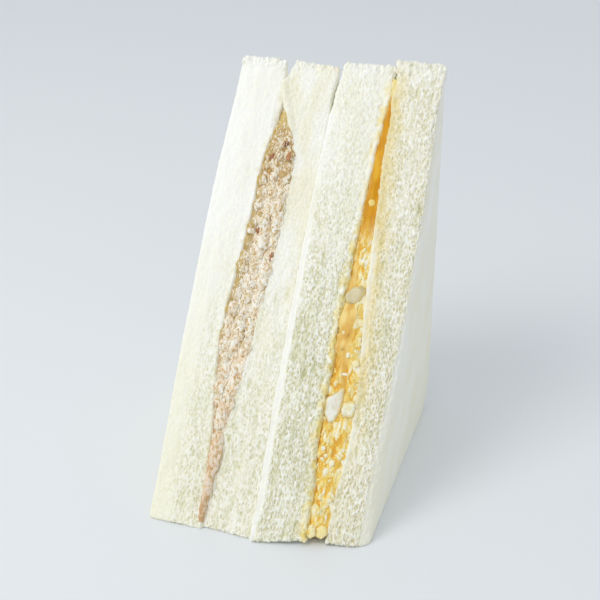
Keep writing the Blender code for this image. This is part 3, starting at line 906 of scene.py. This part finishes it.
# %% The bits tree
def bits_tree():
    """Scatters uneven bits over the side of a filling that shows at the cut."""
    tree, given = tree_with("bits_on_cut", BIT_INPUTS)
    position = add(tree, "GeometryNodeInputPosition")
    points, sunk_points = scattered(tree, given, position)
    sizes = {0: given["Length"], 1: given["Width"], 2: given["Thickness"]}
    size = add(tree, "ShaderNodeCombineXYZ", sizes)
    spread = {"Min": 0.45, "Max": 1.2, "Seed": SIZE_SEED}
    random_size = add(tree, "FunctionNodeRandomValue", spread, data_type="FLOAT", output=1)
    bit = add(tree, "GeometryNodeObjectInfo", {"Object": given["Bit"]}, output="Geometry")
    placed = add(tree, "GeometryNodeInstanceOnPoints", {
        "Points": sunk_points, "Instance": bit,
        "Rotation": turned(tree, given, points), "Scale": size * random_size,
    })
    tone = add(tree, "FunctionNodeRandomValue", {"Seed": TONE_SEED}, data_type="FLOAT", output=1)
    toned = store(placed, {"tone": tone}, domain="INSTANCE")
    real = add(tree, "GeometryNodeRealizeInstances", {"Geometry": toned})
    rough = add(tree, "ShaderNodeTexNoise", {"Vector": position * (1 / MM), "Scale": WAVES_PER_MM}, "Color")
    push = (rough - MIDDLE) * (given["Unevenness"] * 2.0)
    finish_tree(given, real, push)
    return tree


def as_mesh(name, mesh):
    """Turns what bmesh built into mesh data."""
    data = bpy.data.meshes.new(name)
    mesh.to_mesh(data)
    mesh.free()
    return data


def template(name, subdivisions):
    """A small ball that the bits are copies of; it is never shown itself."""
    mesh = bmesh.new()
    bmesh.ops.create_icosphere(mesh, subdivisions=subdivisions, radius=1.0)
    made = new_object(name, as_mesh(name, mesh))
    made.hide_render = True
    made.hide_viewport = True
    return made


ROUND_BIT = template("round_bit", 2)
FIBRE_BIT = template("fibre_bit", 1)
BITS = bits_tree()
print("the bits tree has", len(BITS.nodes), "nodes")

# %% [markdown]
# ## Filling materials
#
# Tuna, yolk and boiled egg white are moist. Light goes into them and comes out softened, and dressing
# gives them an uneven gloss. Tuna is cream where a flake stands out and brown in the gaps, partly its
# own colour and partly painted highlight and painted shade, and gold at the edge under the first slice,
# which is oil and painted shade. Egg is deep yellow where it is smooth, and pale where air was stirred in.

# %% Moist food
GLOSS_MM = 0.4
FLECK_MM = 0.5


def moist(name, roughness, subsurface, reach_mm=1.0, bump=0.5):
    """A moist food: light goes in by about the reach, and the gloss is wet but uneven."""
    material, tree, shader = new_material(name)
    place = object_place(tree) * (1 / MM)
    uneven = {"Height": noise(place, GLOSS_MM, 2.0), "Distance": 0.12 * MM, "Strength": bump}
    give(shader, {
        "Normal": add(tree, "ShaderNodeBump", uneven),
        "Roughness": roughness,
        "Specular IOR Level": 0.35,
        "Subsurface Weight": subsurface,
        "Subsurface Scale": reach_mm * MM,
        "Subsurface Radius": (1.0, 0.8, 0.4),
    })
    return material, tree, shader, place


def grain_level(place):
    """From 0 in a hollow to 1 on top of a grain, with a chance of its own for each grain."""
    tree = place.tree
    _, chance = cells(attribute(tree, "grain_place", "Vector"), 1.0)
    level = attribute(tree, "height") * 0.4 + 0.45 + (chance - 0.5) * 0.35
    return level + (noise(place, FLECK_MM, 2.0) - 0.5) * 0.8


def by_tone(name, stops, roughness, subsurface):
    """Small bits of food, each with its own tone and a little colour drift inside it."""
    material, tree, shader, place = moist(name, roughness, subsurface)
    drift = (noise(place, FLECK_MM, 2.0) - 0.5) * 0.5
    give(shader, {"Base Color": colour_band(attribute(tree, "tone") + drift, stops)})
    return material


print("the wet gloss breaks up every", GLOSS_MM, "mm")

# %% Tuna materials
FIBRE_MM = 0.3
FIBRE_STRETCH = 3.0
BLUSH_MM = 2.0
# The wobble of the gold line of oil and painted shade along the tuna's left edge.
OIL_AND_SHADE_LINE_MM = 1.5
TUNA_STOPS = [(0.0, "#BD9F64"), (0.2, "#DFCDA2"), (0.42, "#F5E9D0"), (0.75, "#FFFCF2")]
PINK_STOPS = [(0.0, "#CA9A68"), (0.2, "#E8C498"), (0.42, "#F6DCB8"), (0.75, "#FFF0D8")]
FLAKE_STOPS = [(0.0, "#DDBC98"), (0.3, "#EBDCBE"), (0.6, "#F6EDD8"), (1.0, "#FEFAEF")]
BEAD_STOPS = [(0.0, "#84543A"), (0.3, "#BC8058"), (0.6, "#C29C5C"), (1.0, "#D2BA84")]


def tuna_mass():
    """Flaked tuna in dressing: cream tops and brown gaps, partly painted highlight and painted shade; pinker
    low down; a gold edge of oil and painted shade.

    The heights are millimetres above the base.
    """
    material, tree, shader, place = moist("tuna_mass", 0.5, 0.1, bump=1.0)
    fibres = along_cut(object_place(tree), FIBRE_STRETCH)
    height = xyz(place)[2]
    # Painted highlight and shade, partly the tuna's own colour: tops of grains and fibres paler, hollows
    # browner.
    level = grain_level(place) + (noise(fibres, FIBRE_MM) - 0.5) * 1.1
    level = level - ramp(height, 74.0, 92.0, 0.0, 0.3)
    pink = ramp(noise(place, BLUSH_MM), 0.4, 0.65) * ramp(height, 30.0, 55.0, 0.9, 0.4)
    colour = blend(pink, colour_band(level, TUNA_STOPS), colour_band(level, PINK_STOPS))
    # Painted shade and oil: a gold line along the edge by the first slice, whose proud edge shades the tuna.
    reach = ramp(height, 42.0, 56.0, 2.0, 3.4) * ramp(noise(fibres, OIL_AND_SHADE_LINE_MM), 0.35, 0.65, 0.6, 1.2)
    oil_and_painted_shade = ramp(attribute(tree, "from_left") / reach, 0.5, 0.9, 0.85, 0.0)
    colour = blend(oil_and_painted_shade, colour, blend(ramp(height, 34.0, 50.0), "#C99A68", "#C4A653"))
    colour = blend(ramp(height, 96.0, 101.0, 0.0, 0.85), colour, "#DDBE6C")
    colour = blend(ramp(height, 12.0, 32.0, 0.4, 0.0), colour, "#CFA270")
    give(shader, {"Base Color": colour})
    return material


TUNA_MASS = tuna_mass()
# Thin fibres that stick out and catch the light: cream to nearly white, with a little pink.
TUNA_FLAKE = by_tone("tuna_flake", FLAKE_STOPS, 0.5, 0.08)
# Darker meat full of oil: brown and glossy, the few dark points of the tuna.
TUNA_BEAD = by_tone("oily_brown_bead", BEAD_STOPS, 0.3, 0.1)
print("tuna materials:", TUNA_MASS.name, TUNA_FLAKE.name, TUNA_BEAD.name)

# %% Egg materials
EGG_STREAK_MM = 2.5
CLOUD_MM = 3.0
RIM_LINE_MM = 0.8
DEEP_STOPS = [(0.0, "#D08E00"), (0.5, "#DA9C06"), (1.0, "#E6B022")]
PALE_STOPS = [(0.0, "#DFAB50"), (0.5, "#EAC26A"), (1.0, "#F5DA90")]
FROTH_STOPS = [(0.0, "#EBAE40"), (0.25, "#F4C858"), (0.5, "#F9DE84"), (0.75, "#FDEFBE"), (1.0, "#FFFAE8")]
CURD_STOPS = [(0.0, "#F3C95E"), (0.4, "#F8DE84"), (0.75, "#FBEDB8"), (1.0, "#FFFAE8")]


def egg_paste():
    """Yolk and dressing: deep glossy yellow where it is smooth, pale and frothy where it is loose.

    The heights are millimetres above the base.
    """
    material, tree, shader, place = moist("egg_paste", 0.4, 0.2)
    streak = ramp(noise(along_cut(object_place(tree), FIBRE_STRETCH), EGG_STREAK_MM, 2.0), 0.3, 0.7)
    height = xyz(place)[2]
    smooth = blend(ramp(height, 62.0, 76.0), colour_band(streak, PALE_STOPS), colour_band(streak, DEEP_STOPS))
    smooth = blend(ramp(height, 107.5, 109.0), smooth, "#F0E08C")
    level = grain_level(place) + ramp(attribute(tree, "from_right"), 0.5, 4.5, 0.26, -0.08)
    colour = blend(attribute(tree, "loose"), smooth, colour_band(level, FROTH_STOPS))
    give(shader, {"Base Color": colour, "Specular IOR Level": 0.2})
    return material


def boiled_egg_white(name, light, dark):
    """Boiled egg white: smooth, dense and slightly see-through, with paste that clings to its rim."""
    material, tree, shader, place = moist(name, 0.3, 0.5, 2.0)
    white = blend(ramp(noise(place, CLOUD_MM), 0.4, 0.65), light, dark)
    rim = attribute(tree, "from_left") + noise(place, RIM_LINE_MM) * 0.8
    give(shader, {"Base Color": blend(ramp(rim, 0.75, 1.6, 0.8, 0.0), white, "#F3D27C")})
    return material


EGG_PASTE = egg_paste()
# Crumbled yolk in froth: each curd has its own tone, from yellow to nearly white.
EGG_CURD = by_tone("egg_curd", CURD_STOPS, 0.35, 0.2)
# Soaked with dressing, so it has turned beige.
SOAKED_WHITE = boiled_egg_white("egg_white_soaked", "#D9CDA8", "#C5B480")
# Freshly cut, so it is the cleanest white in the egg, with a shine.
CLEAN_WHITE = boiled_egg_white("egg_white_clean", "#F5F2E6", "#E6E0CA")
# Coated with whipped paste, so it is cream.
FROTHY_WHITE = boiled_egg_white("egg_white_frothy", "#FBF6DE", "#F6E6AE")
print("egg materials:", EGG_PASTE.name, EGG_CURD.name, "and three egg whites")

# %% [markdown]
# ## Bits at known places
#
# The eye goes to the few largest bits, so those stand where the photograph has them. Each place is an X
# and a distance up the cut, both in millimetres. A ray through that place finds the skin of the filling,
# and an egg-shaped lump is set there, which the core tree then makes uneven.

# %% Lumps
UP = Vector(CUT_UP)
INTO = -Vector(CUT_NORMAL)
IN_FRONT = 20 * MM
FOOT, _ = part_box("bread_egg_inner")


def on_cut(across, upwards):
    """The place on the cut for an X and a distance up the cut, both in millimetres."""
    return Vector((across * MM, FOOT.y, FOOT.z)) + UP * upwards * MM


def on_skin(core, across, upwards):
    """The place where a core shows, straight behind a place on the cut."""
    hit, place, _, _ = core.ray_cast(on_cut(across, upwards) - INTO * IN_FRONT, INTO)
    assert hit, f"nothing lies behind the place {across}, {upwards}"
    return place


def lump(mesh, middle, half_width, half_length, half_depth):
    """Adds an egg-shaped lump whose length runs up the cut, and returns its points."""
    points = bmesh.ops.create_icosphere(mesh, subdivisions=3, radius=1.0)["verts"]
    for point in points:
        across, deep, along = point.co * MM
        point.co = middle + INTO * deep * half_depth + UP * along * half_length
        point.co.x += across * half_width
    return points


def placed_bits(name, core, rows, sink, half_depth):
    """Bits that lie on a core. Each row: X, distance up the cut, half width, half length, tone."""
    mesh = bmesh.new()
    tone = mesh.verts.layers.float.new("tone")
    for across, upwards, half_width, half_length, shade in rows:
        middle = on_skin(core, across, upwards) + INTO * sink
        for point in lump(mesh, middle, half_width, half_length, half_depth):
            point[tone] = shade
    return new_object(name, as_mesh(name, mesh))


print("the foot of the cut is at", [round(value / MM, 1) for value in FOOT], "mm")

# %% [markdown]
# ## Tuna
#
# Tuna from a tin is mashed with dressing, so it is short fibres and soft lumps. Low down it thins out
# to a tail between the slices. The tail is three lumps in a row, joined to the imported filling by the
# remesh. The loose fibres are scattered, because no one can tell one of them from the next.

# %% The tuna's core and flakes
TUNA_VOXEL = 0.22 * MM
CORE_SMOOTHING = 30
TUNA_TAIL = ((-15.9, 22.5, 1.65, 7.0), (-16.2, 14.5, 0.95, 6.5), (-16.45, 8.5, 0.55, 6.0))
TAIL_SINK = 0.95 * MM
TAIL_DEPTH = 1.2


def tuna_with_tail():
    """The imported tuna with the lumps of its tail. Each row: X, distance up, half width, half length."""
    mesh = bmesh.new()
    mesh.from_mesh(tuna_solid.data)
    for across, upwards, half_width, half_length in TUNA_TAIL:
        lump(mesh, on_cut(across, upwards) + INTO * TAIL_SINK, half_width, half_length, TAIL_DEPTH)
    return as_mesh("tuna_with_tail", mesh)


tuna = fine_copy("tuna_core", tuna_with_tail(), TUNA_VOXEL, CORE_SMOOTHING)
run_tree(tuna, CORE, grow=0.35 * MM, side_grow=0.15 * MM, stretch=2.4, lump_size=1.6, lump_depth=0.15 * MM,
         grain_size=0.5, grain_depth=0.22 * MM, even_above=95 * MM, tip_shrink=0.3 * MM,
         left_bread=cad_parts["bread_tuna_outer"], right_bread=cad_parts["bread_tuna_inner"],
         material=TUNA_MASS)
flakes = new_object("tuna_flakes", tuna.data.copy())
run_tree(flakes, BITS, bit=FIBRE_BIT, spacing=0.8 * MM, length=0.75 * MM, width=0.2 * MM, thickness=0.2 * MM,
         unevenness=0.2 * MM, sink=0.1 * MM, from_z=10 * MM, spin=0.7, seed=3, material=TUNA_FLAKE)

# %% [markdown]
# ## Brown bits in the tuna
#
# A few darker, oily bits stand near the top of the tuna. A viewer knows them one by one, so they aren't
# scattered: each row below is one bit, and the core tree makes each a little uneven.

# %% Brown bits in the tuna
BEAD_ROWS = (
    (-15.9, 114.5, 1.0, 1.1, 0.2), (-10.4, 114.8, 0.8, 1.3, 0.35), (-11.3, 108.9, 1.3, 1.3, 0.75),
    (-16.0, 110.0, 0.8, 1.4, 0.6), (-15.8, 91.0, 0.8, 1.0, 0.2), (-12.4, 118.8, 0.3, 0.9, 0.0),
    (-11.6, 119.0, 0.3, 0.8, 0.0), (-10.3, 83.3, 0.35, 1.6, 0.25), (-16.0, 95.4, 0.7, 1.5, 0.8),
)
beads = placed_bits("tuna_beads", tuna, BEAD_ROWS, 0.05 * MM, 0.5)
run_tree(beads, CORE, grow=0.0, stretch=1.0, lump_size=0.8, lump_depth=0.5 * MM, grain_depth=0.0,
         left_bread=tuna_solid, right_bread=tuna_solid, material=TUNA_BEAD)
for piece in (tuna, flakes, beads):
    thin_out(piece)
    settle_in(piece, "tuna", "tuna_filling")

# %% [markdown]
# ## Chopped egg
#
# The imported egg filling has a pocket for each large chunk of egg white. In the real filling the paste
# clings to the chunks, so the core gets a plug in every pocket, a little below the surface. Halfway up
# the cut the knife spread the paste smooth, so smooth lumps lie over the core there. Everything is
# remeshed twice, which closes the folds between lumps that would show as dark lines.

# %% The egg's core
EGG_VOXEL = 0.25 * MM
SECOND_SMOOTHING = 6
PLUG_SCALE = 1.25
PLUG_SINK = 1.35 * MM
TIP_PASTE = (17.6, 140.5, 1.0, 2.6, 1.0)
TIP_SINK_MM = 1.2
SMOOTH_PASTE = (
    (16.4, 68.0, 2.3, 6.0), (16.8, 60.0, 2.6, 8.0), (17.2, 53.0, 2.4, 6.0), (19.2, 62.0, 2.0, 8.0),
)
PASTE_SINK = 2.5 * MM
PASTE_DEPTH = 3.0


def add_plugs(mesh):
    """Fills the pocket of each egg white chunk with a larger copy of it, sunk below the surface."""
    for number in (1, 2, 3):
        low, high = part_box(f"egg_white_piece_{number}")
        middle = (low + high) / 2
        before = len(mesh.verts)
        mesh.from_mesh(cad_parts[f"egg_white_piece_{number}"].data)
        mesh.verts.ensure_lookup_table()
        for vert in mesh.verts[before:]:
            vert.co = middle + (vert.co - middle) * PLUG_SCALE + INTO * PLUG_SINK


def egg_with_plugs():
    """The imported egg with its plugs, a lump of paste at the tip and the smooth lumps halfway up."""
    mesh = bmesh.new()
    mesh.from_mesh(egg_solid.data)
    add_plugs(mesh)
    across, upwards, *halves = TIP_PASTE
    lump(mesh, on_cut(across, upwards) + INTO * TIP_SINK_MM * MM, *halves)
    for across, upwards, half_width, half_length in SMOOTH_PASTE:
        middle = on_skin(egg_solid, across, upwards) + INTO * PASTE_SINK
        lump(mesh, middle, half_width, half_length, PASTE_DEPTH)
    return as_mesh("egg_with_plugs", mesh)


joined_egg = fine_copy("joined_egg", egg_with_plugs(), EGG_VOXEL, CORE_SMOOTHING)
egg = fine_copy("egg_core", joined_egg.data, EGG_VOXEL, SECOND_SMOOTHING)
bpy.data.objects.remove(joined_egg)
run_tree(egg, CORE, grow=0.35 * MM, side_grow=0.9 * MM, stretch=2.8, lump_size=2.5, lump_depth=0.45 * MM,
         grain_size=0.85, grain_depth=0.36 * MM, left_bread=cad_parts["bread_egg_inner"],
         right_bread=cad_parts["bread_egg_outer"], loose_from_right=3.6, loose_below=76 * MM,
         all_loose_below=38 * MM, even_below=75 * MM, rim=0.65, material=EGG_PASTE)

# %% [markdown]
# ## Curds and larger bits of egg
#
# Low on the cut the egg is loose, with curds of yolk and white in froth. Small curds are scattered over
# the loose part only. The larger ones have known places, as the brown bits of the tuna have.

# %% Curds and larger bits of egg
curds = new_object("egg_curds", egg.data.copy())
run_tree(curds, BITS, bit=ROUND_BIT, spacing=1.9 * MM, length=0.95 * MM, width=0.5 * MM, thickness=0.32 * MM,
         unevenness=0.3 * MM, sink=0.22 * MM, to_z=84 * MM, share_on_smooth=0.0, spin=1.2, seed=5,
         material=EGG_CURD)
CHOPPED_ROWS = (
    (21.3, 77.6, 1.1, 0.5, 1.0), (15.6, 63.8, 0.5, 0.6, 0.75), (18.0, 57.6, 0.6, 0.9, 0.9),
    (20.5, 55.3, 1.2, 1.2, 0.75), (17.7, 51.8, 1.2, 0.5, 0.9), (15.4, 29.6, 0.7, 0.7, 0.9),
    (16.5, 27.8, 0.7, 0.7, 0.8), (18.5, 25.9, 0.9, 1.0, 0.9), (16.9, 23.3, 0.8, 1.3, 0.9),
    (21.0, 21.9, 1.3, 1.9, 0.6), (17.1, 103.6, 1.0, 1.2, 0.4),
    (16.4, 5.8, 1.3, 1.6, 0.7), (19.0, 6.4, 1.7, 1.9, 0.6),
)
chopped = placed_bits("egg_chopped", egg, CHOPPED_ROWS, 0.1 * MM, 0.5)
run_tree(chopped, CORE, grow=0.0, stretch=1.0, lump_size=0.9, lump_depth=0.45 * MM, grain_depth=0.0,
         left_bread=egg_solid, right_bread=egg_solid, material=EGG_CURD)
for piece in (egg, curds, chopped):
    thin_out(piece)
    settle_in(piece, "egg", "egg_filling")

# %% [markdown]
# ## Large pieces of egg white
#
# Three chunks of boiled white stand in the egg. The upper one is soaked and smooth, the second is clean
# with cut corners, and the third is frothy with paste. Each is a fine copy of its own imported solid.
# Each row below: the chunk's number, its material, rounds of smoothing, how far it grows, and its grain.

# %% Egg white
WHITE_VOXEL = 0.2 * MM
WHITES = (
    (1, SOAKED_WHITE, 10, 0.3 * MM, 0.0),
    (2, CLEAN_WHITE, 1, 0.3 * MM, 0.0),
    (3, FROTHY_WHITE, 4, 0.5 * MM, 0.3 * MM),
)
for number, material, smoothing, grow, grain_depth in WHITES:
    node_name = f"egg_white_piece_{number}"
    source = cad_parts[node_name].data
    piece = fine_copy(f"egg_white_chunk_{number}", source, WHITE_VOXEL, smoothing)
    run_tree(piece, CORE, grow=grow, lump_size=2.0, lump_depth=0.25 * MM, grain_depth=grain_depth,
             left_bread=egg_solid, right_bread=egg_solid, material=material)
    thin_out(piece)
    settle_in(piece, "egg_white", node_name)

# %% [markdown]
# ## The end
#
# The two template balls have done their work, so they are taken away.

# %% The end
bpy.data.objects.remove(ROUND_BIT)
bpy.data.objects.remove(FIBRE_BIT)
